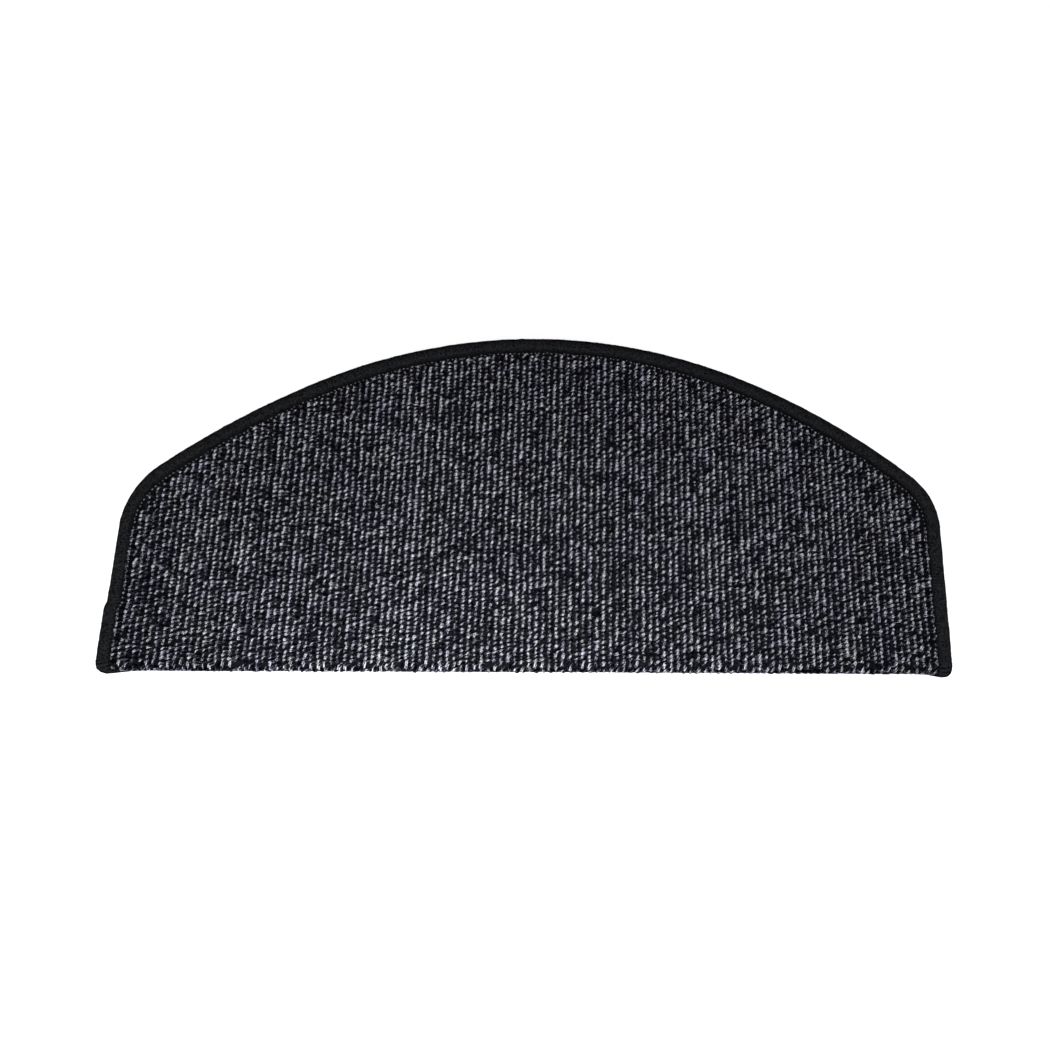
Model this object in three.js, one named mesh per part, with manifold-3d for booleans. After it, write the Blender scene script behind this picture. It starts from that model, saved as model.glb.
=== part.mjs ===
// Half-moon stair tread mat, in millimetres, +Z up and +Y to the back of the stair.
// A ribbed loop-pile carpet folds down over the nosing, and a thick serged edge runs round it.
// Every piece is laid out flat first, as (x, run, height), and folded by fold().
// The run is counted along the underside, from where the fold starts towards the back.

import * as THREE from 'three';
import { mergeVertices } from 'three/addons/utils/BufferGeometryUtils.js';
import Module from 'manifold-3d';

const wasm = await Module();
wasm.setup();

// Plan: a crown arc, a flatter flank each side of it, and a small shoulder down to the side.
// The cut is a little uneven, so each side has its own angle of crown, flank and shoulder.
const matWidth = 650;
const treadDepth = 275;
const crownRadius = 430;
const leftCrownAngle = 24;
const leftFlankRadius = 635;
const leftShoulderRadius = 64;
const rightCrownAngle = 21;
const rightFlankRadius = 535;
const rightShoulderRadius = 55;

// Fold over the nosing
const foldRadius = 3;
const lipDrop = 35;
const lipCornerRadius = 14;
const foldSteps = 4;

// Carpet: a backing that carries the pile in straight ribs from front to back
const backingThickness = 2.2;
const pileHeight = 3;
const furrowPile = 0.4;
const ribPitch = 5.17;
const ribFootWidth = 3.9;
const ribCrestWidth = 2.1;

// Serged edge, wrapped over the rim of the backing
const bindingWidth = 10.5;
const bindingHeight = 7.2;
const bindingUnder = 1.2;
const bindingWall = 2;
const bindingLapHeight = 5.2;

// On the left the edge steps out a little, some way back from the lip
const sideStep = 1.8;
const sideStepFromFront = 52;
const sideStepLength = 5;

// Strip inside the fold that keeps it square
const angleThickness = 1.2;
const angleTreadLeg = 30;
const angleEndGap = 1.5;

const clearance = 0.3;
const arcError = 0.08;

// Worked out from the sizes above
const halfWidth = matWidth / 2;
const foldRun = foldRadius * Math.PI / 2;
const foldStartY = -treadDepth / 2 + bindingHeight + foldRadius;
const backRun = treadDepth / 2 - foldStartY;
const lipRun = -foldRun - (lipDrop - foldRadius);
const stepRun = sideStepFromFront - bindingHeight - foldRadius;
const rimInset = bindingWall + clearance;
const pileInset = bindingWidth + clearance;

// Centres and angles of the arcs of one side, as if it were the right-hand one
function sideArcs(crownDegrees, flankRadius, shoulderRadius) {
  const crownAngle = THREE.MathUtils.degToRad(crownDegrees);
  const flankX = (crownRadius - flankRadius) * Math.sin(crownAngle);
  const flankRun = backRun - crownRadius + (crownRadius - flankRadius) * Math.cos(crownAngle);
  const shoulderX = halfWidth - shoulderRadius;
  const reach = flankRadius - shoulderRadius;
  const flankAngle = Math.asin((shoulderX - flankX) / reach);
  const shoulderRun = flankRun + reach * Math.cos(flankAngle);
  return { crownAngle, flankRadius, flankX, flankRun, flankAngle, shoulderRadius, shoulderX, shoulderRun };
}

const leftSide = sideArcs(leftCrownAngle, leftFlankRadius, leftShoulderRadius);
const rightSide = sideArcs(rightCrownAngle, rightFlankRadius, rightShoulderRadius);

// A point of the flat layout, put where it lies on the folded mat
function fold(x, run, height) {
  const radius = foldRadius + height;
  if (run >= 0) {
    return new THREE.Vector3(x, foldStartY + run, lipDrop + height);
  }
  if (run > -foldRun) {
    const turn = -run / foldRadius;
    const y = foldStartY - radius * Math.sin(turn);
    return new THREE.Vector3(x, y, lipDrop - foldRadius + radius * Math.cos(turn));
  }
  return new THREE.Vector3(x, foldStartY - radius, lipDrop - foldRadius + run + foldRun);
}

// Runs at which the fold is faceted, from the tread down to the lip
function foldRuns() {
  return Array.from({ length: foldSteps + 1 }, (_, i) => -foldRun * i / foldSteps);
}

// Points of an arc whose angle is counted clockwise from the back, ends included
function arc(centreX, centreRun, radius, from, to) {
  const step = 2 * Math.acos(1 - arcError / radius);
  const count = Math.max(2, Math.ceil(Math.abs(to - from) / step));
  return Array.from({ length: count + 1 }, (_, i) => {
    const angle = from + (to - from) * i / count;
    return new THREE.Vector2(centreX + radius * Math.sin(angle), centreRun + radius * Math.cos(angle));
  });
}

// Back of one side, from the middle out to where its shoulder meets the straight side
function sideOutline(side) {
  const { crownAngle, flankRadius, flankX, flankRun, flankAngle, shoulderRadius, shoulderX, shoulderRun } = side;
  return [
    ...arc(0, backRun - crownRadius, crownRadius, 0, crownAngle).slice(0, -1),
    ...arc(flankX, flankRun, flankRadius, crownAngle, flankAngle).slice(0, -1),
    ...arc(shoulderX, shoulderRun, shoulderRadius, flankAngle, Math.PI / 2),
  ];
}

// Flat outline of the whole mat, clockwise from the middle of the back
function matOutline() {
  const quarter = Math.PI / 2;
  const cornerRun = lipRun + lipCornerRadius;
  const leftX = -halfWidth - sideStep;
  const leftBack = sideOutline(leftSide).map((point) => new THREE.Vector2(-point.x, point.y));
  return [
    ...sideOutline(rightSide),
    ...foldRuns().map((run) => new THREE.Vector2(halfWidth, run)),
    ...arc(halfWidth - lipCornerRadius, cornerRun, lipCornerRadius, quarter, 2 * quarter),
    ...arc(leftX + lipCornerRadius, cornerRun, lipCornerRadius, 2 * quarter, 3 * quarter),
    ...foldRuns().reverse().map((run) => new THREE.Vector2(leftX, run)),
    new THREE.Vector2(leftX, stepRun - sideStepLength / 2),
    new THREE.Vector2(-halfWidth, stepRun + sideStepLength / 2),
    ...leftBack.slice(1).reverse(),
  ];
}

// Inward direction at each corner of a closed outline, longer where the outline turns
function inwardMitres(points) {
  return points.map((point, i) => {
    const before = points[(i + points.length - 1) % points.length];
    const after = points[(i + 1) % points.length];
    const first = point.clone().sub(before).normalize();
    const second = after.clone().sub(point).normalize();
    const mean = first.clone().add(second).normalize();
    return new THREE.Vector2(mean.y, -mean.x).divideScalar(mean.dot(first));
  });
}

// How far back the mat reaches at x, a given distance inside its outline
function backEdge(x, inset) {
  const out = Math.abs(x);
  const side = x < 0 ? leftSide : rightSide;
  const flank = side.flankRadius - inset;
  if (out <= (crownRadius - inset) * Math.sin(side.crownAngle)) {
    return backRun - crownRadius + Math.sqrt((crownRadius - inset) ** 2 - out ** 2);
  }
  if (out <= side.flankX + flank * Math.sin(side.flankAngle)) {
    return side.flankRun + Math.sqrt(flank ** 2 - (out - side.flankX) ** 2);
  }
  const reach = (side.shoulderRadius - inset) ** 2 - (out - side.shoulderX) ** 2;
  return side.shoulderRun + Math.sqrt(Math.max(0, reach));
}

// How far down the lip reaches at x, a given distance inside the outline
function lipEdge(x, inset) {
  const radius = lipCornerRadius - inset;
  const past = Math.max(0, Math.abs(x) - (halfWidth - lipCornerRadius));
  return lipRun + lipCornerRadius - Math.sqrt(Math.max(0, radius ** 2 - past ** 2));
}

// Closed surface from equal loops of points, with a fan of triangles over each end
function skinLoops(loops, closedAlong) {
  const size = loops[0].length;
  const positions = loops.flat().flatMap((point) => point.toArray());
  const index = [];
  const last = closedAlong ? loops.length : loops.length - 1;
  for (let i = 0; i < last; i += 1) {
    const near = i * size;
    const far = ((i + 1) % loops.length) * size;
    for (let j = 0; j < size; j += 1) {
      const k = (j + 1) % size;
      index.push(near + j, far + k, far + j, near + j, near + k, far + k);
    }
  }
  if (!closedAlong) {
    const end = (loops.length - 1) * size;
    for (const [a, b, c] of endTriangles(loops[0])) {
      index.push(a, c, b, end + a, end + b, end + c);
    }
  }
  const geometry = new THREE.BufferGeometry();
  geometry.setAttribute('position', new THREE.Float32BufferAttribute(positions, 3));
  geometry.setIndex(index);
  return geometry;
}

// The end loops lie in planes across X, so they are filled as outlines of Y and Z
function endTriangles(loop) {
  const contour = loop.map((point) => new THREE.Vector2(point.y, point.z));
  const flip = THREE.ShapeUtils.isClockWise(contour);
  const triangles = THREE.ShapeUtils.triangulateShape(contour, []);
  return flip ? triangles.map(([a, b, c]) => [a, c, b]) : triangles;
}

// A folded sheet from strips across X: each column has its own height and reaches its own edges
function foldedSheet(columns, inset, bottom) {
  const loops = columns.map(({ x, top }) => {
    const runs = [backEdge(x, inset), ...foldRuns(), lipEdge(x, inset)];
    const upper = runs.map((run) => fold(x, run, top));
    const lower = runs.map((run) => fold(x, run, bottom)).reverse();
    return [...upper, ...lower];
  });
  return skinLoops(loops, false);
}

// Columns of the backing, closer together round the shoulders
function backingColumns() {
  const [left, right] = [leftSide, rightSide].map((side) => {
    const radius = side.shoulderRadius - rimInset;
    return arc(side.shoulderX, 0, radius, side.flankAngle, Math.PI / 2).map((point) => point.x);
  });
  const middle = left[0] + right[0];
  const count = Math.ceil(middle / (2 * Math.sqrt(2 * crownRadius * arcError)));
  const across = Array.from({ length: count - 1 }, (_, i) => middle * (i + 1) / count - left[0]);
  const all = [...left.map((x) => -x).reverse(), ...across, ...right];
  return all.map((x) => ({ x, top: backingThickness }));
}

// Columns of the pile: foot, crest, crest, foot for each rib
function pileColumns() {
  const reach = halfWidth - pileInset;
  const ribCount = Math.floor((2 * reach + ribPitch - ribFootWidth) / ribPitch);
  const firstRib = -ribPitch * (ribCount - 1) / 2;
  const low = backingThickness + furrowPile;
  const high = backingThickness + pileHeight;
  return Array.from({ length: ribCount }, (_, i) => firstRib + i * ribPitch).flatMap((centre) => [
    { x: centre - ribFootWidth / 2, top: low },
    { x: centre - ribCrestWidth / 2, top: high },
    { x: centre + ribCrestWidth / 2, top: high },
    { x: centre + ribFootWidth / 2, top: low },
  ]);
}

function solidOf(geometry) {
  const bare = geometry.clone();
  bare.deleteAttribute('normal');
  bare.deleteAttribute('uv');
  const merged = mergeVertices(bare, 1e-4);
  return new wasm.Manifold(new wasm.Mesh({
    numProp: 3,
    vertProperties: merged.attributes.position.array,
    triVerts: Uint32Array.from(merged.index.array),
  }));
}

function geometryOf(solid) {
  const mesh = solid.getMesh();
  const geometry = new THREE.BufferGeometry();
  geometry.setAttribute('position', new THREE.BufferAttribute(mesh.vertProperties, 3));
  geometry.setIndex(new THREE.BufferAttribute(mesh.triVerts, 1));
  geometry.computeVertexNormals();
  return geometry;
}

// The pile starts half way down in the backing, so that the two join into one piece
function carpetGeometry() {
  const backing = solidOf(foldedSheet(backingColumns(), rimInset, 0));
  const pile = solidOf(foldedSheet(pileColumns(), pileInset, backingThickness / 2));
  return geometryOf(backing.add(pile));
}

// Section of the serged edge: distance in from the outline, and height over the underside
function bindingSection() {
  const middle = (bindingHeight - bindingUnder) / 2;
  const half = (bindingHeight + bindingUnder) / 2;
  const crown = bindingWidth / 2;
  const slotTop = backingThickness + clearance;
  const outer = [-65, -30, 0, 30, 60].map((degrees) => {
    const angle = THREE.MathUtils.degToRad(degrees);
    return [crown * (1 - Math.cos(angle)), middle + half * Math.sin(angle)];
  });
  return [
    [bindingWidth, -bindingUnder],
    ...outer,
    [crown, bindingHeight],
    [bindingWidth * 0.8, (bindingHeight + bindingLapHeight) / 2],
    [bindingWidth, bindingLapHeight],
    [bindingWidth, slotTop],
    [bindingWall, slotTop],
    [bindingWall, -clearance],
    [bindingWidth, -clearance],
  ];
}

function bindingGeometry() {
  const outline = matOutline();
  const mitres = inwardMitres(outline);
  const section = bindingSection();
  const loops = outline.map((point, i) => section.map(([inset, height]) => {
    const place = mitres[i].clone().multiplyScalar(inset).add(point);
    return fold(place.x, place.y, height);
  }));
  return skinLoops(loops, true);
}

// Folded strip under the carpet, with the carpet's own fold, that ends clear of the serged edge
function angleGeometry() {
  const half = halfWidth - bindingWidth - angleEndGap;
  const outer = -clearance;
  const inner = -clearance - angleThickness;
  const runs = [angleTreadLeg, ...foldRuns(), lipRun + bindingWidth + angleEndGap];
  const loops = [-half, half].map((x) => [
    ...runs.map((run) => fold(x, run, outer)),
    ...runs.map((run) => fold(x, run, inner)).reverse(),
  ]);
  return skinLoops(loops, false);
}

function piece(name, geometry, color, roughness) {
  const material = new THREE.MeshStandardMaterial({ color, roughness, metalness: 0 });
  const mesh = new THREE.Mesh(geometry, material);
  mesh.name = name;
  return mesh;
}

const mat = new THREE.Group();
mat.add(piece('carpet_tread', carpetGeometry(), 0x4a4b52, 0.95));
mat.add(piece('edge_binding', bindingGeometry(), 0x1d1f22, 0.85));
mat.add(piece('nosing_angle', angleGeometry(), 0x2b2b2b, 0.6));

// The side step widens the mat to the left only, so the whole is moved back to the middle
mat.position.x = sideStep / 2;

export default mat;
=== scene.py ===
# Half-moon stair tread mat: heather loop pile, black serged edge, front folded over the nosing.
# Each textile piece is laid out flat as (x, run, height) and then folded; run 0 is where the fold starts.
import math

import bmesh
import bpy
import numpy as np
from mathutils import Matrix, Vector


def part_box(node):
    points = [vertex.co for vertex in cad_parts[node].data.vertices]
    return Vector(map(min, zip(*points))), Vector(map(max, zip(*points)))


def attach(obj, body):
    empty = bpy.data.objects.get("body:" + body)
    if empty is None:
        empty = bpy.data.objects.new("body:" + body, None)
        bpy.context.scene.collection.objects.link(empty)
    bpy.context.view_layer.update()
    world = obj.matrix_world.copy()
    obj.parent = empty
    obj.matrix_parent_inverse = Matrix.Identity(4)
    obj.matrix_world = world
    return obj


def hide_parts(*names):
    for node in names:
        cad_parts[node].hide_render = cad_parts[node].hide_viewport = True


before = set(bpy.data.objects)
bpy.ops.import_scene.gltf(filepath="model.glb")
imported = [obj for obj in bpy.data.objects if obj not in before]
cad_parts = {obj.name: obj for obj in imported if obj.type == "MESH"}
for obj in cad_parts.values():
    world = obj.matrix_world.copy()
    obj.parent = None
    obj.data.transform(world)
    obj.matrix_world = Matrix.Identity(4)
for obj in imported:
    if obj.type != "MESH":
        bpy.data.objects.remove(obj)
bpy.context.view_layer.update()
scene = bpy.context.scene

edgeLow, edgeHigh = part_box("edge_binding")

# Plan and fold of the mat, in metres
mat = {
    "halfWidth": 0.325,
    "crownRadius": 0.430,
    "left": {"crownAngle": 24, "flankRadius": 0.635, "shoulderRadius": 0.064},
    "right": {"crownAngle": 21, "flankRadius": 0.535, "shoulderRadius": 0.055},
    "lipCornerRadius": 0.014,
    "leastCorner": 0.0005,     # of an outline far inside the edge
    "sideStep": 0.0018,        # the left side steps out here
    "stepFromFront": 0.052,
    "stepLength": 0.005,
    "foldRadius": 0.003,
    "edgeWidth": 0.0105,
    "edgeHeight": 0.0072,
    "backing": 0.0022,
}
middleX = (edgeLow[0] + edgeHigh[0]) / 2 + mat["sideStep"] / 2
foldStartY = edgeLow[1] + mat["edgeHeight"] + mat["foldRadius"]
lipDrop = edgeHigh[2] - mat["edgeHeight"]
backRun = edgeHigh[1] - foldStartY
foldRun = mat["foldRadius"] * math.pi / 2
lipRun = -foldRun - (lipDrop - mat["foldRadius"])
stepRun = mat["stepFromFront"] - mat["edgeHeight"] - mat["foldRadius"]


# Camera

camera = {
    "place": (0.07618, -0.09473, 0.47622),
    "tilt": 9.601,
    "turn": 0.259,
    "focalPixels": 560,
    "imagePixels": 1050,
    "axisPixel": 624.35,       # the photo is cropped, so its optical axis lies right of the middle
}


def makeCamera():
    data = bpy.data.cameras.new("matCamera")
    data.sensor_width = 36
    data.lens = data.sensor_width * camera["focalPixels"] / camera["imagePixels"]
    data.shift_x = 0.5 - camera["axisPixel"] / camera["imagePixels"]
    obj = bpy.data.objects.new("matCamera", data)
    scene.collection.objects.link(obj)
    turn = Matrix.Rotation(math.radians(camera["turn"]), 4, "Z")
    tilt = Matrix.Rotation(math.radians(camera["tilt"]), 4, "X")
    obj.matrix_world = Matrix.Translation(camera["place"]) @ turn @ tilt
    scene.camera = obj


# Plan geometry

def arcPoints(centre, radius, start, end, spacing):
    count = max(2, round(abs(end - start) * radius / spacing))
    angles = np.linspace(start, end, count + 1)
    return [(centre[0] + radius * math.sin(a), centre[1] + radius * math.cos(a)) for a in angles]


def straightPoints(start, end, spacing):
    count = max(1, round(math.dist(start, end) / spacing))
    return [tuple(np.add(start, np.subtract(end, start) * i / count)) for i in range(count + 1)]


# Centre, radius, start and end angle of the crown, flank and shoulder arcs of one side
def backArcs(side):
    crownAngle = math.radians(side["crownAngle"])
    crown = (0, backRun - mat["crownRadius"])
    gap = mat["crownRadius"] - side["flankRadius"]
    flank = (gap * math.sin(crownAngle), crown[1] + gap * math.cos(crownAngle))
    shoulderX = mat["halfWidth"] - side["shoulderRadius"]
    reach = side["flankRadius"] - side["shoulderRadius"]
    flankAngle = math.asin((shoulderX - flank[0]) / reach)
    shoulder = (shoulderX, flank[1] + reach * math.cos(flankAngle))
    return (
        (crown, mat["crownRadius"], 0, crownAngle),
        (flank, side["flankRadius"], crownAngle, flankAngle),
        (shoulder, side["shoulderRadius"], flankAngle, math.pi / 2),
    )


# Back of one side, from the middle out to where its shoulder meets the straight side
def sideOutline(side, inset, spacing):
    points = []
    for centre, radius, start, end in backArcs(side):
        points = points[:-1] + arcPoints(centre, radius - inset, start, end, spacing)
    return points


# Closed outline of the mat, clockwise from the middle of the back, a distance inside its edge
def matOutline(inset, spacing):
    rightBack = sideOutline(mat["right"], inset, spacing)
    leftBack = [(-x, run) for x, run in sideOutline(mat["left"], inset, spacing)][::-1]
    half = mat["halfWidth"] - inset
    left = -half - mat["sideStep"]
    low = lipRun + inset
    corner = max(mat["leastCorner"], mat["lipCornerRadius"] - inset)
    stepLow = (left, stepRun - mat["stepLength"] / 2)
    stepHigh = (-half, stepRun + mat["stepLength"] / 2)
    quarter = math.pi / 2
    legs = [
        rightBack,
        straightPoints(rightBack[-1], (half, low + corner), spacing),
        arcPoints((half - corner, low + corner), corner, quarter, 2 * quarter, spacing),
        straightPoints((half - corner, low), (left + corner, low), spacing),
        arcPoints((left + corner, low + corner), corner, 2 * quarter, 3 * quarter, spacing),
        straightPoints((left, low + corner), stepLow, spacing),
        straightPoints(stepLow, stepHigh, spacing),
        straightPoints(stepHigh, leftBack[0], spacing),
        leftBack,
    ]
    return np.array([point for legShadeMask in legs for point in legShadeMask[:-1]])


# True for each point of the flat layout that lies far enough inside the edge
def insideMat(x, run, sideInset, backInset, slack):
    inside = np.zeros(x.shape, dtype=bool)
    out = np.abs(x)
    for side, here in ((mat["left"], x < 0), (mat["right"], x >= 0)):
        arcs = backArcs(side)
        shoulderX, shoulderRun = arcs[-1][0]
        back = np.where(out > shoulderX, shoulderRun, -1.0)
        for (centreX, centreRun), radius, start, end in arcs:
            offset = out - centreX
            radius -= backInset
            within = (offset >= radius * math.sin(start) - 1e-6) & (offset <= radius * math.sin(end) + 1e-6)
            rise = centreRun + np.sqrt(np.maximum(0, radius ** 2 - offset ** 2))
            back = np.where(within, rise, back)
        inside |= here & (run <= back)
    stepped = mat["sideStep"] * ((x < 0) & (run < stepRun))
    return inside & (out <= mat["halfWidth"] - sideInset + slack + stepped) & (run >= lipRun + sideInset)


# Folds a mesh from the flat layout to where it lies on the stair
def foldOver(mesh):
    flat = np.empty(len(mesh.vertices) * 3)
    mesh.vertices.foreach_get("co", flat)
    x, run, height = flat.reshape(-1, 3).T
    radius = mat["foldRadius"] + height
    turn = np.clip(-run, 0, foldRun) / mat["foldRadius"]
    drop = np.maximum(0, -run - foldRun)
    y = foldStartY + np.maximum(0, run) - radius * np.sin(turn)
    z = lipDrop - mat["foldRadius"] + radius * np.cos(turn) - drop
    mesh.vertices.foreach_set("co", np.column_stack([x + middleX, y, z]).ravel())
    mesh.update()


# Mesh helpers

def linkPiece(name, mesh, *materials):
    obj = bpy.data.objects.new(name, mesh)
    scene.collection.objects.link(obj)
    for material in materials:
        mesh.materials.append(material)
    return obj


def toMesh(bm, name):
    mesh = bpy.data.meshes.new(name)
    bm.to_mesh(mesh)
    bm.free()
    return mesh


def setFloats(mesh, name, values):
    layer = mesh.attributes.new(name, "FLOAT", "POINT")
    layer.data.foreach_set("value", np.ascontiguousarray(values, dtype=np.float32))


def smoothNoise(rng, count, reach):
    values = rng.standard_normal(count + 4 * reach)
    kernel = np.hanning(2 * reach + 1)
    smooth = np.convolve(values, kernel / np.sqrt((kernel ** 2).sum()), "same")
    return smooth[2 * reach:2 * reach + count]


# Shader helpers

def newMaterial(name):
    material = bpy.data.materials.new(name)
    material.use_nodes = True
    nodes = material.node_tree.nodes
    return material, nodes, material.node_tree.links, nodes["Principled BSDF"]


def addMath(nodes, links, operation, *inputs):
    node = nodes.new("ShaderNodeMath")
    node.operation = operation
    for socket, value in zip(node.inputs, inputs):
        if isinstance(value, (int, float)):
            socket.default_value = value
        else:
            links.new(value, socket)
    return node.outputs[0]


def addMix(nodes, links, factor, low, high):
    node = nodes.new("ShaderNodeMix")
    node.data_type = "RGBA"
    for socket, value in zip((node.inputs[0], node.inputs[6], node.inputs[7]), (factor, low, high)):
        if isinstance(value, (int, float)):
            socket.default_value = value
        elif isinstance(value, tuple):
            socket.default_value = (*value, 1)
        else:
            links.new(value, socket)
    return node.outputs[2]


def addRange(nodes, links, value, low, high, toLow=0.0, toHigh=1.0):
    node = nodes.new("ShaderNodeMapRange")
    node.interpolation_type = "SMOOTHSTEP"
    links.new(value, node.inputs["Value"])
    node.inputs["From Min"].default_value = low
    node.inputs["From Max"].default_value = high
    node.inputs["To Min"].default_value = toLow
    node.inputs["To Max"].default_value = toHigh
    return node.outputs["Result"]


def addAttribute(nodes, name):
    node = nodes.new("ShaderNodeAttribute")
    node.attribute_name = name
    return node.outputs["Fac"]


def addBump(nodes, links, height, strength, distance):
    node = nodes.new("ShaderNodeBump")
    node.inputs["Strength"].default_value = strength
    node.inputs["Distance"].default_value = distance
    links.new(height, node.inputs["Height"])
    return node.outputs["Normal"]


# Fine fibres: stretched noise on the piece's own coordinates, as a shade and a height
def makeFibreGroup():
    group = bpy.data.node_groups.new("fineFibres", "ShaderNodeTree")
    interface = group.interface
    for name, value in (("Scale", 900.0), ("Stretch", 3.0)):
        socket = interface.new_socket(name, in_out="INPUT", socket_type="NodeSocketFloat")
        socket.default_value = value
    interface.new_socket("Shade", in_out="OUTPUT", socket_type="NodeSocketFloat")
    interface.new_socket("Height", in_out="OUTPUT", socket_type="NodeSocketFloat")
    nodes, links = group.nodes, group.links
    inputs = nodes.new("NodeGroupInput")
    outputs = nodes.new("NodeGroupOutput")
    coords = nodes.new("ShaderNodeTexCoord")
    split = nodes.new("ShaderNodeSeparateXYZ")
    links.new(coords.outputs["Object"], split.inputs[0])
    joined = nodes.new("ShaderNodeCombineXYZ")
    stretched = addMath(nodes, links, "MULTIPLY", split.outputs[0], inputs.outputs["Stretch"])
    links.new(stretched, joined.inputs[0])
    links.new(split.outputs[1], joined.inputs[1])
    links.new(split.outputs[2], joined.inputs[2])
    noise = nodes.new("ShaderNodeTexNoise")
    noise.inputs["Detail"].default_value = 3
    noise.inputs["Roughness"].default_value = 0.6
    links.new(joined.outputs[0], noise.inputs["Vector"])
    links.new(inputs.outputs["Scale"], noise.inputs["Scale"])
    links.new(addRange(nodes, links, noise.outputs["Fac"], low=0.3, high=0.7), outputs.inputs["Shade"])
    links.new(noise.outputs["Fac"], outputs.inputs["Height"])
    return group


def addFibres(nodes, group, scale, stretch):
    node = nodes.new("ShaderNodeGroup")
    node.node_tree = group
    node.inputs["Scale"].default_value = scale
    node.inputs["Stretch"].default_value = stretch
    return node.outputs["Shade"], node.outputs["Height"]


# Loop pile

pile = {
    "ribPitch": 0.00517,
    "loopPitch": 0.0031,
    "yarnSides": 8,
    "yarnWidth": 0.0018,
    "yarnThickness": 0.0010,
    "crestShare": 0.6,         # of the thickness lies over the middle of the yarn
    "pinch": 0.55,             # the ring is drawn in between its plies
    "bulge": 1.25,
    "archSpan": 0.0046,        # between the middles of a loop's two legs
    "archRise": 0.0030,
    "archPeak": 1.3,           # over 1 draws the crest in and lets the legs run out
    "archSteps": 5,
    "twist": math.radians(50),
    "loopTop": 0.0055,         # over the underside of the backing
    "footDepth": 0.6,          # share of the backing down to which the legs are cut flat
    "lean": math.radians(24),
    "legLean": math.radians(34),   # the legs run off more slantwise than the crest
    "ribSkew": math.radians(0.26),
    "sideInset": 0.0124,
    "sideSlack": 0.0012,       # the outermost ribs may sway this far out
    "backInset": 0.0145,
    "stepSpread": 0.045,       # ribs this far from the left side move out with its step
    "pieces": 6,
    "seed": 41,
}

# How unevenly the loops stand
uneven = {
    "lean": math.radians(14),
    "leanLimit": 0.7,
    "size": 0.14,
    "narrowest": 0.7,
    "widest": 1.35,
    "longest": 1.3,
    "rise": 0.00025,
    "riseLimit": 0.0006,
    "ribSway": 0.00013,        # sideways, of a stretch of the rib
    "swayReach": 2,            # in loops
    "loopSway": 0.00014,       # and of the single loop
    "ribSlide": 0.0008,        # along the rib
    "slideReach": 6,
    "loopSlide": 0.0004,
    "tip": 0.11,
}


# One loop of two-ply yarn: a pinched ring spun into an arch, with the plies twisting over it
def makeLoopMesh():
    bm = bmesh.new()
    foot = Matrix.Translation((0, pile["archSpan"] / 2, 0))
    bmesh.ops.create_circle(bm, segments=pile["yarnSides"], radius=pile["yarnWidth"] / 2, matrix=foot)
    flat = pile["yarnThickness"] / pile["yarnWidth"]
    for vert in bm.verts:
        inMiddle = abs(vert.co.x) < pile["yarnWidth"] / 8
        side = vert.co.y - foot.translation.y
        vert.co.y = foot.translation.y + side * flat * (pile["pinch"] if inMiddle else pile["bulge"])
    bmesh.ops.spin(
        bm, geom=bm.verts[:] + bm.edges[:], cent=(0, 0, 0), axis=(1, 0, 0), dvec=(0, 0, 0),
        angle=math.pi, steps=pile["archSteps"], use_merge=False, use_normal_flip=False, use_duplicate=False,
    )
    bmesh.ops.holes_fill(bm, edges=[e for e in bm.edges if e.is_boundary], sides=0)
    bmesh.ops.recalc_face_normals(bm, faces=bm.faces[:])
    around = bm.verts.layers.float.new("aroundYarn")
    along = bm.verts.layers.float.new("alongYarn")
    for vert in bm.verts:
        angle = math.atan2(vert.co.z, vert.co.y)
        angle = angle if angle > -math.pi / 6 else angle + 2 * math.pi
        across = vert.co.x
        outward = math.hypot(vert.co.y, vert.co.z) - pile["archSpan"] / 2
        vert[along] = angle / math.pi
        vert[around] = math.atan2(across, outward) / (2 * math.pi) + 0.5
        turn = pile["twist"] * (angle / math.pi - 0.5)
        vert.co.x = across * math.cos(turn) - outward * math.sin(turn)
        outward = across * math.sin(turn) + outward * math.cos(turn)
        vert.co.y = (pile["archSpan"] / 2 + outward) * math.cos(angle)
        arch = max(0, math.sin(angle)) ** pile["archPeak"]
        vert.co.z = pile["archRise"] * arch + outward * math.sin(angle)
    for face in bm.faces:
        face.smooth = len(face.verts) == 4
    return toMesh(bm, "oneLoop")


# Shades of the yarn: 0 is the black ply, 1 the lightest fibres
heather = {
    "base": 0.82,
    "drift": 0.05,             # slow change down a rib
    "driftReach": 3,           # in loops
    "loopSpread": 0.08,
    "ribSpread": 0.04,
    "plySpread": 0.15,
    "brightShare": 0.06,       # of the loops stand out
    "brightLift": 0.16,
    # painted shade on the ribs beside the serging
    "edgeShadeDrop": 0.22,          # the ribs beside the serging are darker
    "edgeReach": 0.0015,
    "edgeFade": 0.001,
    # painted shade on the legs of each loop, down towards the backing
    "legShadeDrop": 0.36,
    # painted shade in the groove between the plies and along their sides
    "plyEdgeShadeDrop": 0.45,
    "fibres": 0.64,
    "colors": (
        (0.0, (0.0006, 0.0007, 0.0014)),
        (0.3, (0.0038, 0.0040, 0.0065)),
        (0.5, (0.022, 0.023, 0.031)),
        (0.7, (0.105, 0.108, 0.128)),
        (0.85, (0.29, 0.295, 0.325)),
        (1.0, (0.66, 0.67, 0.70)),
    ),
    "warmTint": (1.005, 1.01, 0.985),
    "coolTint": (0.945, 0.96, 1.08),
}


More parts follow.
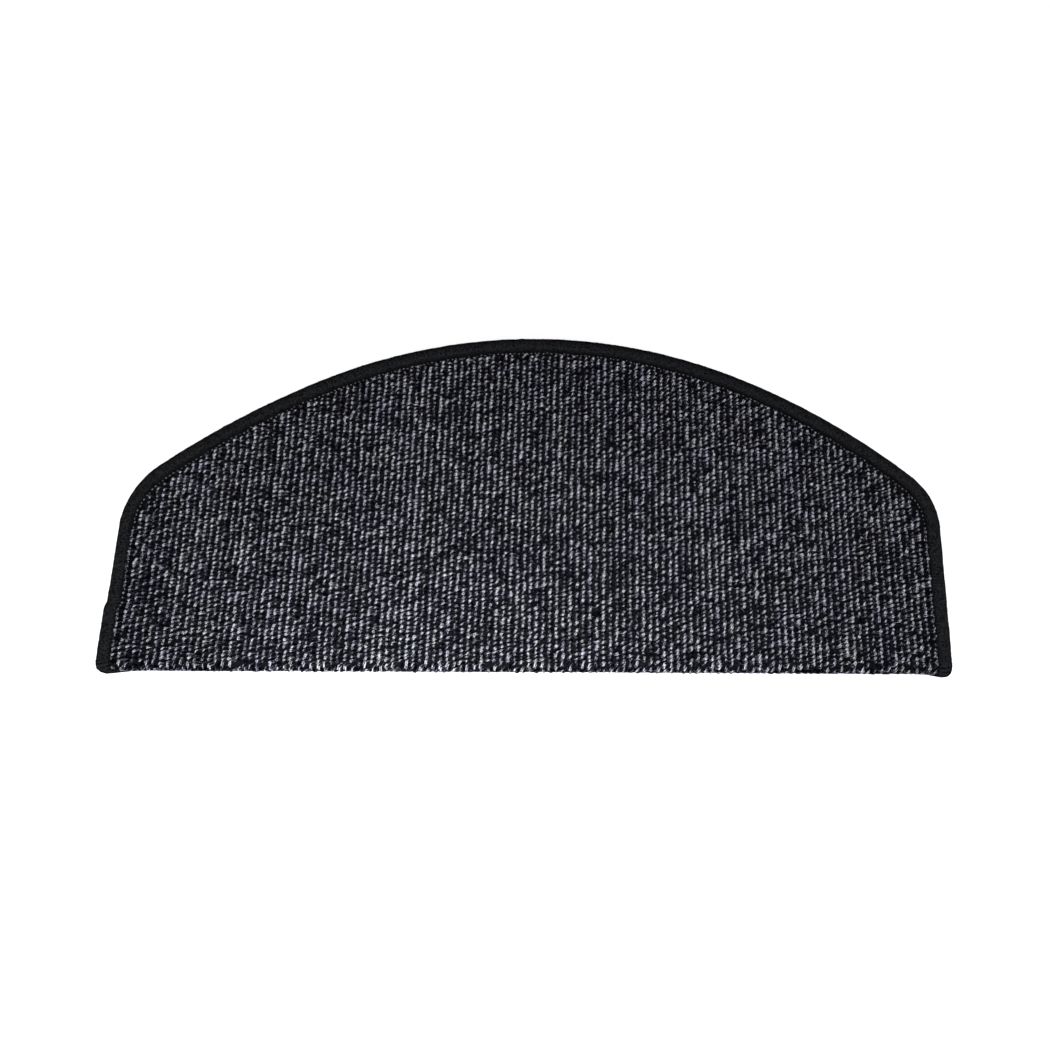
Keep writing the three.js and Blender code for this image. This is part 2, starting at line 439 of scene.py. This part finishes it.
# Copies the loop in a grid with two arrays, then gives each copy its own place, lean and shade
def makePilePiece(index, loopMesh, material):
    columns = round(2 * (mat["halfWidth"] - pile["sideInset"]) / pile["ribPitch"]) + 1
    perPiece = math.ceil(columns / pile["pieces"])
    first = index * perPiece
    here = min(perPiece, columns - first)
    rows = int((backRun - lipRun) / pile["loopPitch"]) + 1
    rng = np.random.default_rng(pile["seed"] + index)

    obj = linkPiece(f"loopPile{index + 1}", loopMesh.copy(), material)
    for count, offset in ((rows, (0, pile["loopPitch"], 0)), (here, (pile["ribPitch"], 0, 0))):
        array = obj.modifiers.new("array", "ARRAY")
        array.count = count
        array.use_relative_offset = False
        array.use_constant_offset = True
        array.constant_offset_displace = offset
    graph = bpy.context.evaluated_depsgraph_get()
    mesh = bpy.data.meshes.new_from_object(obj.evaluated_get(graph))
    obj.modifiers.clear()
    obj.data = mesh
    size = len(loopMesh.vertices)

    flat = np.empty(len(mesh.vertices) * 3)
    mesh.vertices.foreach_get("co", flat)
    grid = flat.reshape(here, rows, size, 3)
    columnX = (np.arange(here) * pile["ribPitch"])[:, None]
    rowRun = (np.arange(rows) * pile["loopPitch"])[None, :]
    shape = grid - np.stack(np.broadcast_arrays(columnX, rowRun, 0.0 * rowRun), -1)[:, :, None, :]

    def spread(scale):
        return rng.standard_normal((here, rows)) * scale

    def drift(reach):
        return np.stack([smoothNoise(rng, rows, reach) for _ in range(here)])

    # Each loop's own lean, size and sway
    lean = -pile["lean"] + np.clip(spread(uneven["lean"]), -uneven["leanLimit"], uneven["leanLimit"])
    wide = np.clip(1 + spread(uneven["size"]), uneven["narrowest"], uneven["widest"])
    long = np.clip(1 + spread(uneven["size"]), uneven["narrowest"], uneven["longest"])
    rise = np.clip(spread(uneven["rise"]), -uneven["riseLimit"], uneven["riseLimit"])
    sway = drift(uneven["swayReach"]) * uneven["ribSway"] + spread(uneven["loopSway"])
    slide = drift(uneven["slideReach"]) * uneven["ribSlide"] + spread(uneven["loopSlide"])
    tip = spread(uneven["tip"])
    height = shape[..., 2]
    x = shape[..., 0] * wide[..., None] + height * tip[..., None]
    run = shape[..., 1] * long[..., None]
    lean = lean[..., None] - pile["legLean"] * np.abs(shape[..., 1]) / (pile["archSpan"] / 2)
    turnedX = x * np.cos(lean) - run * np.sin(lean)
    turnedRun = x * np.sin(lean) + run * np.cos(lean)

    startX = -(columns - 1) / 2 * pile["ribPitch"]
    centreX = startX + first * pile["ribPitch"] + columnX + sway
    centreRun = lipRun + rowRun + rng.random((here, 1)) * pile["loopPitch"] + slide
    centreX = centreX - math.tan(pile["ribSkew"]) * centreRun
    nearLeft = np.clip(1 - (centreX + mat["halfWidth"] - pile["sideInset"]) / pile["stepSpread"], 0, 1)
    stepped = np.clip((stepRun - centreRun) / mat["stepLength"] + 0.5, 0, 1)
    centreX = centreX - mat["sideStep"] * nearLeft * stepped
    topOfShape = pile["archRise"] + pile["yarnThickness"] * pile["crestShare"]
    lift = pile["loopTop"] - topOfShape + rise
    placed = np.stack([
        turnedX + centreX[..., None],
        turnedRun + centreRun[..., None],
        np.maximum(height + lift[..., None], mat["backing"] * pile["footDepth"]),
    ], -1)
    mesh.vertices.foreach_set("co", placed.ravel())

    # Heather: each ply has its own shade, which drifts down the rib and jumps from loop to loop
    base = heather["base"] + heather["drift"] * drift(heather["driftReach"]) + spread(heather["loopSpread"])
    base = base + rng.standard_normal((here, 1)) * heather["ribSpread"]
    base = base + heather["brightLift"] * (rng.random((here, rows)) < heather["brightShare"])
    # Painted shade: the ribs next to the serged edge darken towards it
    pastEdge = np.abs(centreX) - mat["halfWidth"] + pile["sideInset"] + heather["edgeReach"]
    base = base - heather["edgeShadeDrop"] * np.clip(pastEdge / heather["edgeFade"], 0, 1)
    for ply in ("leftPly", "rightPly"):
        shade = base + spread(heather["plySpread"])
        setFloats(mesh, ply, np.repeat(np.clip(shade, 0, 1), size))
    setFloats(mesh, "loopTint", np.repeat(rng.random((here, rows)), size))

    keep = insideMat(centreX, centreRun, pile["sideInset"], pile["backInset"], pile["sideSlack"])
    drop = ~np.repeat(keep, size)
    bm = bmesh.new()
    bm.from_mesh(mesh)
    bm.verts.ensure_lookup_table()
    bmesh.ops.delete(bm, geom=[bm.verts[i] for i in np.flatnonzero(drop)], context="VERTS")
    bm.to_mesh(mesh)
    bm.free()
    foldOver(mesh)
    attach(obj, "root")
    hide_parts("carpet_tread")
    print(f"loop pile {index + 1}: {int(keep.sum())} loops")
    return obj


def addShades(nodes, links, value, shades):
    ramp = nodes.new("ShaderNodeValToRGB")
    elements = ramp.color_ramp.elements
    elements[0].position, elements[1].position = shades[0][0], shades[-1][0]
    elements[0].color, elements[1].color = (*shades[0][1], 1), (*shades[-1][1], 1)
    for place, color in shades[1:-1]:
        elements.new(place).color = (*color, 1)
    links.new(value, ramp.inputs[0])
    return ramp.outputs[0]


# Two plies side by side, each with its own shade; painted shade darkens the legs where they sink into the
# pile, and the groove and sides of each ply
def makePileMaterial(fibres):
    material, nodes, links, shader = newMaterial("heatherYarn")
    around = addAttribute(nodes, "aroundYarn")
    along = addAttribute(nodes, "alongYarn")
    fromGroove = addMath(nodes, links, "SUBTRACT", around, 0.5)
    whichPly = addRange(nodes, links, fromGroove, low=-0.03, high=0.03)
    plyShade = nodes.new("ShaderNodeMix")
    links.new(whichPly, plyShade.inputs[0])
    links.new(addAttribute(nodes, "leftPly"), plyShade.inputs[2])
    links.new(addAttribute(nodes, "rightPly"), plyShade.inputs[3])
    fibreShade, fibreHeight = addFibres(nodes, fibres, scale=1300, stretch=1.3)
    fromCrest = addMath(nodes, links, "ABSOLUTE", addMath(nodes, links, "SUBTRACT", along, 0.5))
    # Painted shade: the legs darken away from the crest, where they sink into the pile
    legShadeMask = addRange(nodes, links, fromCrest, low=0.05, high=0.23)
    # Painted shade in the groove between the plies and along their outer sides, stronger on the legs; the
    # same mask dents the bump
    offGroove = addMath(nodes, links, "ABSOLUTE", fromGroove)
    groove = addRange(nodes, links, offGroove, low=0.02, high=0.11, toLow=1.0, toHigh=0.0)
    side = addRange(nodes, links, offGroove, low=0.17, high=0.25)
    edges = addMath(nodes, links, "MAXIMUM", groove, side)
    edges = addMath(nodes, links, "MULTIPLY", edges, addMath(nodes, links, "MULTIPLY_ADD", legShadeMask, 0.5, 0.6))
    shade = addMath(nodes, links, "MULTIPLY_ADD", legShadeMask, -heather["legShadeDrop"], plyShade.outputs[0])
    shade = addMath(nodes, links, "MULTIPLY_ADD", edges, -heather["plyEdgeShadeDrop"], shade)
    fibreLift = addMath(nodes, links, "SUBTRACT", fibreShade, 0.5)
    shade = addMath(nodes, links, "MULTIPLY_ADD", fibreLift, heather["fibres"], shade)
    color = addShades(nodes, links, shade, heather["colors"])
    patch, _ = addFibres(nodes, fibres, scale=34, stretch=1.6)
    tintPlace = addMath(nodes, links, "MULTIPLY_ADD", addAttribute(nodes, "loopTint"), 0.5, -0.25)
    tintPlace = addMath(nodes, links, "ADD", patch, tintPlace)
    tint = addMix(nodes, links, tintPlace, heather["warmTint"], heather["coolTint"])
    tinted = nodes.new("ShaderNodeMix")
    tinted.data_type = "RGBA"
    tinted.blend_type = "MULTIPLY"
    tinted.inputs[0].default_value = 1
    links.new(color, tinted.inputs[6])
    links.new(tint, tinted.inputs[7])
    links.new(tinted.outputs[2], shader.inputs["Base Color"])
    height = addMath(nodes, links, "MULTIPLY_ADD", edges, -0.5, fibreHeight)
    links.new(addBump(nodes, links, height, strength=0.8, distance=0.0004), shader.inputs["Normal"])
    shader.inputs["Roughness"].default_value = 0.8
    shader.inputs["Specular IOR Level"].default_value = 0.01
    return material


# Backing

backing = {
    "inset": 0.0023,           # its rim is held inside the serged edge
    "spacing": 0.006,
    "foldCuts": 8,
    "strandPitch": 0.00165,    # of the dark weave on top
    "strandDark": (0.0003, 0.0003, 0.0006),
    "strandLight": (0.016, 0.016, 0.021),
    "gripPitch": 0.0024,       # of the weave underneath
    "gripDark": (0.028, 0.028, 0.030),
    "gripLight": (0.060, 0.060, 0.064),
}


def makeBacking(groundMaterial, gripMaterial):
    bm = bmesh.new()
    outline = matOutline(backing["inset"], backing["spacing"])
    rim = [bm.verts.new((x, run, 0)) for x, run in outline]
    bmesh.ops.contextual_create(bm, geom=rim)
    for i in range(backing["foldCuts"] + 1):
        cut = (0, -foldRun * i / backing["foldCuts"], 0)
        geom = bm.verts[:] + bm.edges[:] + bm.faces[:]
        bmesh.ops.bisect_plane(bm, geom=geom, plane_co=cut, plane_no=(0, 1, 0))
    top = bmesh.ops.extrude_face_region(bm, geom=bm.faces[:], use_keep_orig=True)["geom"]
    lifted = [v for v in top if isinstance(v, bmesh.types.BMVert)]
    bmesh.ops.translate(bm, vec=(0, 0, mat["backing"]), verts=lifted)
    for face in bm.faces:
        underneath = max(v.co.z for v in face.verts) < mat["backing"] / 2
        face.material_index = 1 if underneath else 0
    bmesh.ops.recalc_face_normals(bm, faces=bm.faces[:])
    mesh = toMesh(bm, "matBacking")
    foldOver(mesh)
    obj = linkPiece("matBacking", mesh, groundMaterial, gripMaterial)
    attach(obj, "root")
    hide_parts("carpet_tread")
    print("backing made")
    return obj


# Dark weave seen between the ribs, its strands running diagonally
def makeGroundMaterial(fibres):
    material, nodes, links, shader = newMaterial("pileGround")
    coords = nodes.new("ShaderNodeTexCoord")
    split = nodes.new("ShaderNodeSeparateXYZ")
    links.new(coords.outputs["Object"], split.inputs[0])
    slant = addMath(nodes, links, "SUBTRACT", split.outputs[1], split.outputs[0])
    wave = 2 * math.pi / backing["strandPitch"]
    strands = addMath(nodes, links, "SINE", addMath(nodes, links, "MULTIPLY", slant, wave))
    fibreShade, fibreHeight = addFibres(nodes, fibres, scale=900, stretch=1.0)
    tone = addMath(nodes, links, "MULTIPLY_ADD", strands, 0.35, fibreShade)
    color = addMix(nodes, links, tone, backing["strandDark"], backing["strandLight"])
    links.new(color, shader.inputs["Base Color"])
    height = addMath(nodes, links, "MULTIPLY_ADD", strands, 0.5, fibreHeight)
    links.new(addBump(nodes, links, height, strength=0.8, distance=0.0006), shader.inputs["Normal"])
    shader.inputs["Roughness"].default_value = 0.95
    shader.inputs["Specular IOR Level"].default_value = 0.0
    return material


# Grip backing: a plain weave pressed into dull grey latex
def makeGripMaterial(fibres):
    material, nodes, links, shader = newMaterial("gripBacking")
    coords = nodes.new("ShaderNodeTexCoord")
    split = nodes.new("ShaderNodeSeparateXYZ")
    links.new(coords.outputs["Object"], split.inputs[0])
    wave = 2 * math.pi / backing["gripPitch"]
    warp = addMath(nodes, links, "SINE", addMath(nodes, links, "MULTIPLY", split.outputs[0], wave))
    weft = addMath(nodes, links, "SINE", addMath(nodes, links, "MULTIPLY", split.outputs[1], wave))
    weave = addMath(nodes, links, "MULTIPLY", warp, weft)
    fibreShade, fibreHeight = addFibres(nodes, fibres, scale=240, stretch=1.0)
    weaveHeight = addMath(nodes, links, "MULTIPLY", weave, 0.5)
    height = addMath(nodes, links, "MULTIPLY_ADD", fibreHeight, 0.7, weaveHeight)
    tone = addMath(nodes, links, "MULTIPLY_ADD", weave, 0.25, fibreShade)
    color = addMix(nodes, links, tone, backing["gripDark"], backing["gripLight"])
    links.new(color, shader.inputs["Base Color"])
    links.new(addBump(nodes, links, height, strength=0.7, distance=0.0004), shader.inputs["Normal"])
    shader.inputs["Roughness"].default_value = 0.7
    shader.inputs["Specular IOR Level"].default_value = 0.35
    return material


# Serged edge

serging = {
    "under": 0.0012,
    "sides": 16,
    "wrapPitch": 0.00115,
    "lap": 1.3,                # the inner half of the section reaches further over the mat
    "wrapDepth": 0.055,        # share of the section that a wrap stands out
    "roundness": 0.95,         # 1 is an ellipse, less is squarer
    "ripple": 0.012,           # slow and quick changes of the section, over so many half wraps
    "slowReach": 9,
    "quickReach": 3,
    "quickShare": 0.6,
    "jitter": 0.012,
    "seed": 7,
    "slant": 0.0022,           # the wraps lean by this much round the section
    "dark": (0.0010, 0.0012, 0.0015),
    "light": (0.0200, 0.0210, 0.0232),
    # painted shade on the inner side of the serging
    "valleyShade": (0.0006, 0.0006, 0.0007),    # where the serging meets the pile
}


# Section of the wrap, round its own middle: x across the edge, y up
def makeSergingSection():
    width = mat["edgeWidth"]
    high = mat["edgeHeight"]
    low = -serging["under"]
    middle = (high + low) / 2
    curve = bpy.data.curves.new("sergingSection", "CURVE")
    curve.dimensions = "2D"
    spline = curve.splines.new("POLY")
    spline.points.add(serging["sides"] - 1)
    for i, point in enumerate(spline.points):
        angle = 2 * math.pi * i / serging["sides"]
        across = math.cos(angle)
        up = math.sin(angle)
        across = math.copysign(abs(across) ** serging["roundness"], across)
        across *= serging["lap"] if across > 0 else 1
        up = math.copysign(abs(up) ** serging["roundness"], up)
        point.co = (across * width / 2, up * (high - low) / 2, 0, 1)
    spline.use_cyclic_u = True
    obj = bpy.data.objects.new("sergingSection", curve)
    scene.collection.objects.link(obj)
    return obj, middle


def makeSergedEdge(material):
    rng = np.random.default_rng(serging["seed"])
    section, middle = makeSergingSection()
    path = matOutline(mat["edgeWidth"] / 2, serging["wrapPitch"] / 2)
    count = len(path) - len(path) % 2
    path = path[:count]
    curve = bpy.data.curves.new("sergedEdge", "CURVE")
    curve.dimensions = "3D"
    curve.twist_mode = "Z_UP"
    curve.bevel_mode = "OBJECT"
    curve.bevel_object = section
    spline = curve.splines.new("POLY")
    spline.points.add(count - 1)
    flat = np.column_stack([path, np.full(count, middle), np.ones(count)])
    spline.points.foreach_set("co", flat.ravel())
    crest = np.where(np.arange(count) % 2 == 0, 1.0, 1.0 - serging["wrapDepth"])
    slow = smoothNoise(rng, count, serging["slowReach"])
    quick = smoothNoise(rng, count, serging["quickReach"])
    ripple = serging["ripple"] * (slow + serging["quickShare"] * quick)
    jitter = serging["jitter"] * rng.standard_normal(count)
    spline.points.foreach_set("radius", crest + ripple + jitter)
    spline.use_cyclic_u = True
    sweep = bpy.data.objects.new("sergingSweep", curve)
    scene.collection.objects.link(sweep)
    graph = bpy.context.evaluated_depsgraph_get()
    mesh = bpy.data.meshes.new_from_object(sweep.evaluated_get(graph))
    mesh.name = "sergedEdge"
    bpy.data.objects.remove(sweep)
    bpy.data.objects.remove(section)
    sides = len(mesh.vertices) // count
    along = np.repeat(np.arange(count) * serging["wrapPitch"] / 2, sides)
    around = np.tile(np.arange(sides) / sides, count)
    setFloats(mesh, "alongEdge", along)
    setFloats(mesh, "aroundEdge", around)
    foldOver(mesh)
    bm = bmesh.new()
    bm.from_mesh(mesh)
    bmesh.ops.recalc_face_normals(bm, faces=bm.faces[:])
    bm.to_mesh(mesh)
    bm.free()
    mesh.shade_smooth()
    obj = linkPiece("sergedEdge", mesh, material)
    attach(obj, "root")
    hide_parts("edge_binding")
    print(f"serged edge: {count} stations, {sides} sides")
    return obj


def makeSergingMaterial(fibres):
    material, nodes, links, shader = newMaterial("sergingYarn")
    along = addAttribute(nodes, "alongEdge")
    around = addAttribute(nodes, "aroundEdge")
    slant = addMath(nodes, links, "MULTIPLY_ADD", around, serging["slant"], along)
    wraps = addMath(nodes, links, "MULTIPLY", slant, 2 * math.pi / serging["wrapPitch"])
    wave = addMath(nodes, links, "SINE", wraps)
    fibreShade, fibreHeight = addFibres(nodes, fibres, scale=800, stretch=1.0)
    tone = addMath(nodes, links, "MULTIPLY_ADD", wave, 0.25, fibreShade)
    color = addMix(nodes, links, tone, serging["dark"], serging["light"])
    fromRim = addMath(nodes, links, "ABSOLUTE", addMath(nodes, links, "SUBTRACT", around, 0.5))
    # Painted shade on the inner side of the section, where the serging meets the pile
    valleyShade = addRange(nodes, links, fromRim, low=0.34, high=0.44, toLow=0.0, toHigh=0.6)
    color = addMix(nodes, links, valleyShade, color, serging["valleyShade"])
    links.new(color, shader.inputs["Base Color"])
    wrapHeight = addMath(nodes, links, "MULTIPLY", wave, 0.4)
    height = addMath(nodes, links, "MULTIPLY_ADD", fibreHeight, 0.8, wrapHeight)
    links.new(addBump(nodes, links, height, strength=0.4, distance=0.0004), shader.inputs["Normal"])
    shader.inputs["Roughness"].default_value = 0.7
    shader.inputs["Specular IOR Level"].default_value = 0.0
    return material


# Row of light stitches along the inner side of the serging

stitches = {
    "inset": 0.0126,
    "backShift": 0.0014,       # behind the shoulders the row lies further in
    "shiftFade": 0.05,
    "fromFold": 0.02,          # the row starts this far up the lip
    "pitch": 0.00345,
    "length": 0.0018,
    "thickness": 0.0007,
    "height": 0.0053,
    "turnSpread": 0.35,
    "placeSpread": 0.0003,
    "shortest": 0.5,
    "longest": 1.3,
    "seed": 19,
    "dark": (0.04, 0.04, 0.045),
    "light": (0.30, 0.30, 0.32),
}


# Moves the part of an outline that lies behind the shoulders towards the front
def shiftBack(points):
    shoulderRun = min(backArcs(mat[name])[-1][0][1] for name in ("left", "right"))
    share = np.clip((points[:, 1] - shoulderRun) / stitches["shiftFade"], 0, 1)
    return points - np.column_stack([np.zeros(len(points)), stitches["backShift"] * share])


def makeStitches(material):
    rng = np.random.default_rng(stitches["seed"])
    path = shiftBack(matOutline(stitches["inset"], stitches["pitch"]))
    ahead = np.roll(path, -1, axis=0) - path
    keep = path[:, 1] > lipRun + stitches["fromFold"]
    bm = bmesh.new()
    for (x, run), (dx, drun) in zip(path[keep], ahead[keep]):
        angle = math.atan2(drun, dx) + rng.normal(0, stitches["turnSpread"])
        jitter = rng.normal(0, stitches["placeSpread"], 2)
        place = Matrix.Translation((x + jitter[0], run + jitter[1], stitches["height"]))
        turn = Matrix.Rotation(angle, 4, "Z")
        halfLength = stitches["length"] / 2 * rng.uniform(stitches["shortest"], stitches["longest"])
        halfThickness = stitches["thickness"] / 2
        size = Matrix.Diagonal((halfLength, halfThickness, halfThickness, 1))
        bmesh.ops.create_icosphere(bm, subdivisions=1, radius=1, matrix=place @ turn @ size)
    for face in bm.faces:
        face.smooth = True
    mesh = toMesh(bm, "edgeStitches")
    foldOver(mesh)
    obj = linkPiece("edgeStitches", mesh, material)
    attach(obj, "root")
    print(f"stitches: {int(keep.sum())}")
    return obj


def makeStitchMaterial(fibres):
    material, nodes, links, shader = newMaterial("stitchYarn")
    fibreShade, fibreHeight = addFibres(nodes, fibres, scale=900, stretch=1.0)
    color = addMix(nodes, links, fibreShade, stitches["dark"], stitches["light"])
    links.new(color, shader.inputs["Base Color"])
    links.new(addBump(nodes, links, fibreHeight, strength=0.5, distance=0.0003), shader.inputs["Normal"])
    shader.inputs["Roughness"].default_value = 0.8
    return material


# Strip inside the fold

strip = {
    "dark": (0.012, 0.012, 0.013),
    "light": (0.040, 0.040, 0.042),
    "grainScale": 700,
    "smoothest": 0.42,
    "roughest": 0.6,
}


def dressNosingAngle(fibres):
    material, nodes, links, shader = newMaterial("nosingPlastic")
    grainShade, grainHeight = addFibres(nodes, fibres, scale=strip["grainScale"], stretch=1.0)
    color = addMix(nodes, links, grainShade, strip["dark"], strip["light"])
    links.new(color, shader.inputs["Base Color"])
    roughness = addRange(
        nodes, links, grainShade, low=0.0, high=1.0, toLow=strip["smoothest"], toHigh=strip["roughest"],
    )
    links.new(roughness, shader.inputs["Roughness"])
    links.new(addBump(nodes, links, grainHeight, strength=0.6, distance=0.0003), shader.inputs["Normal"])
    shader.inputs["Specular IOR Level"].default_value = 0.2
    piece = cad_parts["nosing_angle"]
    piece.data.materials.clear()
    piece.data.materials.append(material)
    print("nosing strip dressed")


# Floor and light

studio = {
    "floorColor": 0.5,
    "floorGlow": 0.94,         # seen but lights nothing, so that the ground is white round the mat
    "floorDepth": 0.0006,      # under the lowest yarn
    "floorHalf": 6,
    "worldLight": 0.04,
    "lamps": {                 # power in watts, width and place
        "keyLight": (3.8, 0.22, (-0.04, -0.31, 0.37)),
        "leftLight": (0.5, 0.3, (-0.50, -0.05, 0.22)),
        "rightLight": (0.7, 0.3, (0.50, -0.05, 0.22)),
        "lowLight": (3.0, 0.8, (0.0, 0.0, -0.60)),     # shines up through the floor on the underside
    },
}


def makeFloor():
    bm = bmesh.new()
    place = Matrix.Translation((0, 0, -studio["floorDepth"]))
    bmesh.ops.create_grid(bm, x_segments=1, y_segments=1, size=studio["floorHalf"], matrix=place)
    material, nodes, links, shader = newMaterial("paleFloor")
    tone = studio["floorColor"]
    shader.inputs["Base Color"].default_value = (tone, tone, tone, 1)
    shader.inputs["Roughness"].default_value = 0.9
    shader.inputs["Specular IOR Level"].default_value = 0.0
    seen = nodes.new("ShaderNodeLightPath")
    glow = nodes.new("ShaderNodeEmission")
    rays = addMath(nodes, links, "MAXIMUM", seen.outputs["Is Camera Ray"], seen.outputs["Is Glossy Ray"])
    rays = addMath(nodes, links, "MAXIMUM", rays, seen.outputs["Is Transmission Ray"])
    links.new(addMath(nodes, links, "MULTIPLY", rays, studio["floorGlow"]), glow.inputs["Strength"])
    total = nodes.new("ShaderNodeAddShader")
    links.new(shader.outputs[0], total.inputs[0])
    links.new(glow.outputs[0], total.inputs[1])
    # The floor is clear from below, and to the lamps, so that the underside of the mat can be seen
    below = nodes.new("ShaderNodeNewGeometry")
    clear = nodes.new("ShaderNodeBsdfTransparent")
    sided = nodes.new("ShaderNodeMixShader")
    fromLamps = seen.outputs["Is Shadow Ray"]
    letThrough = addMath(nodes, links, "MAXIMUM", below.outputs["Backfacing"], fromLamps)
    links.new(letThrough, sided.inputs[0])
    links.new(total.outputs[0], sided.inputs[1])
    links.new(clear.outputs[0], sided.inputs[2])
    links.new(sided.outputs[0], nodes["Material Output"].inputs["Surface"])
    floor = linkPiece("floor", toMesh(bm, "floor"), material)


def makeLight():
    world = bpy.data.worlds.new("studio")
    scene.world = world
    world.use_nodes = True
    nodes, links = world.node_tree.nodes, world.node_tree.links
    ambient = nodes["Background"]
    ambient.inputs["Strength"].default_value = studio["worldLight"]
    ambient.inputs["Color"].default_value = (1, 1, 1, 1)
    white = nodes.new("ShaderNodeBackground")
    white.inputs["Color"].default_value = (1, 1, 1, 1)
    seen = nodes.new("ShaderNodeLightPath")
    mix = nodes.new("ShaderNodeMixShader")
    links.new(seen.outputs["Is Camera Ray"], mix.inputs[0])
    links.new(ambient.outputs[0], mix.inputs[1])
    links.new(white.outputs[0], mix.inputs[2])
    links.new(mix.outputs[0], nodes["World Output"].inputs["Surface"])

    for name, (power, size, place) in studio["lamps"].items():
        data = bpy.data.lights.new(name, "AREA")
        data.energy = power
        data.size = size
        lamp = bpy.data.objects.new(name, data)
        scene.collection.objects.link(lamp)
        lamp.location = place
        lamp.visible_camera = False
        lamp.rotation_euler = (-lamp.location).to_track_quat("-Z", "Y").to_euler()
    print("studio lit")


makeCamera()
makeLight()
makeFloor()
fineFibres = makeFibreGroup()
matBacking = makeBacking(makeGroundMaterial(fineFibres), makeGripMaterial(fineFibres))
oneLoop = makeLoopMesh()
heatherYarn = makePileMaterial(fineFibres)
sewnOn = [makePilePiece(i, oneLoop, heatherYarn) for i in range(pile["pieces"])]
sewnOn.append(makeSergedEdge(makeSergingMaterial(fineFibres)))
sewnOn.append(makeStitches(makeStitchMaterial(fineFibres)))
dressNosingAngle(fineFibres)
scene.view_settings.view_transform = "Standard"
